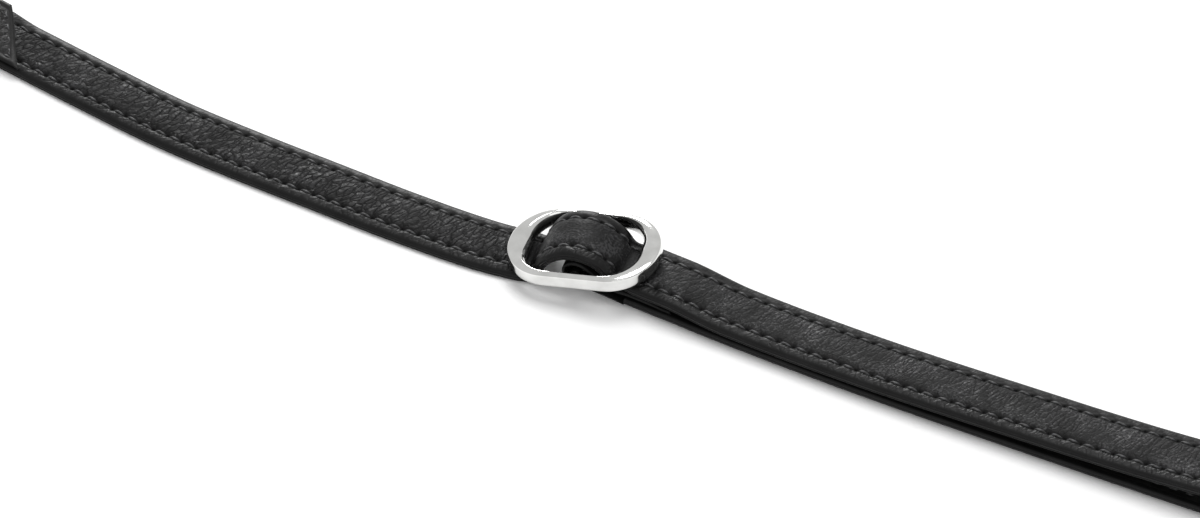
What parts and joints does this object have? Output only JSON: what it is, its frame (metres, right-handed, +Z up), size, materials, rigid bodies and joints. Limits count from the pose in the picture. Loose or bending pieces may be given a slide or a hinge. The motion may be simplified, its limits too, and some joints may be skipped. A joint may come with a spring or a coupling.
{
  "type": "martingale",
  "caption": "Running martingale strap in black leather with an oval chrome slide adjuster, a girth loop and a forked end whose arms each hold a rein ring.",
  "frame": {"origin": "bottom centre of the whole object's box, on the surface that it lies on", "axes": "+X along the strap from the rein rings to the girth loop, +Z up from the surface"},
  "size_m": [0.6086, 0.1442, 0.0165],
  "materials": {
    "strap_leather": "soft pebbled calf leather, dyed black, semi-matt",
    "lining_leather": "smooth waxed lining leather, dyed black",
    "core_tape": "woven reinforcing tape, hidden between the leathers",
    "chrome": "polished chrome plate"
  },
  "bodies": {
    "fork": {"fork_cover_top": "strap_leather", "fork_cover_bottom": "lining_leather", "face_left_run": "strap_leather", "core_left_run": "core_tape", "lining_left_run": "lining_leather"},
    "slide_tail": {"tail_wrap": "strap_leather", "face_arch": "strap_leather", "core_arch": "core_tape", "lining_arch": "lining_leather", "face_upper_run": "strap_leather", "core_upper_run": "core_tape", "lining_upper_run": "lining_leather", "face_lower_run": "strap_leather", "core_lower_run": "core_tape", "lining_lower_run": "lining_leather"},
    "slide": {"slide_frame": "chrome", "slide_bar": "chrome"},
    "loop_end": {"face_loop_end": "strap_leather", "core_loop_end": "core_tape", "lining_loop_end": "lining_leather"},
    "arm_far": {"face_arm_far": "strap_leather", "core_arm_far": "core_tape", "lining_arm_far": "lining_leather"},
    "ring_far": {"ring_far": "chrome"},
    "arm_near": {"face_arm_near": "strap_leather", "core_arm_near": "core_tape", "lining_arm_near": "lining_leather"},
    "ring_near": {"ring_near": "chrome"}
  },
  "joints": [
    {"name": "slide_travel", "type": "slide", "parent": "fork", "child": "slide_tail", "axis": [1, 0, 0], "range_m": [-0.045, 0.06], "deforming": ["face_left_run", "core_left_run", "lining_left_run"]},
    {"name": "loop_travel", "type": "slide", "parent": "slide_tail", "child": "loop_end", "axis": [1, 0, 0], "range_m": [-0.03, 0.0225], "deforming": ["face_upper_run", "core_upper_run", "lining_upper_run", "face_lower_run", "core_lower_run", "lining_lower_run"]},
    {"name": "slide_rock", "type": "hinge", "parent": "slide_tail", "child": "slide", "pos_m": [0.0729, -0.0277, 0.00702], "axis": [-0.1908, 0.9816, 0], "range_deg": [-0.6, 0.6]},
    {"name": "arm_far_flex", "type": "hinge", "parent": "fork", "child": "arm_far", "pos_m": [-0.13613, -0.01152, 0.00139], "axis": [0.1264, 0.992, 0], "range_deg": [0, 75], "deforming": ["face_arm_far", "core_arm_far", "lining_arm_far"]},
    {"name": "ring_far_swing", "type": "hinge", "parent": "arm_far", "child": "ring_far", "pos_m": [-0.24968, 0.04208, 0.0056], "axis": [0.3801, 0.9249, 0], "range_deg": [0, 150]},
    {"name": "arm_near_flex", "type": "hinge", "parent": "fork", "child": "arm_near", "pos_m": [-0.13828, -0.02839, 0.00139], "axis": [0.1264, 0.992, 0], "range_deg": [0, 75], "deforming": ["face_arm_near", "core_arm_near", "lining_arm_near"]},
    {"name": "ring_near_swing", "type": "hinge", "parent": "arm_near", "child": "ring_near", "pos_m": [-0.26208, -0.04788, 0.0056], "axis": [-0.0886, 0.9961, 0], "range_deg": [0, 150]}
  ],
  "couplings": [
    {"joint": "loop_travel", "follows": "slide_travel", "ratio": -0.5}
  ]
}
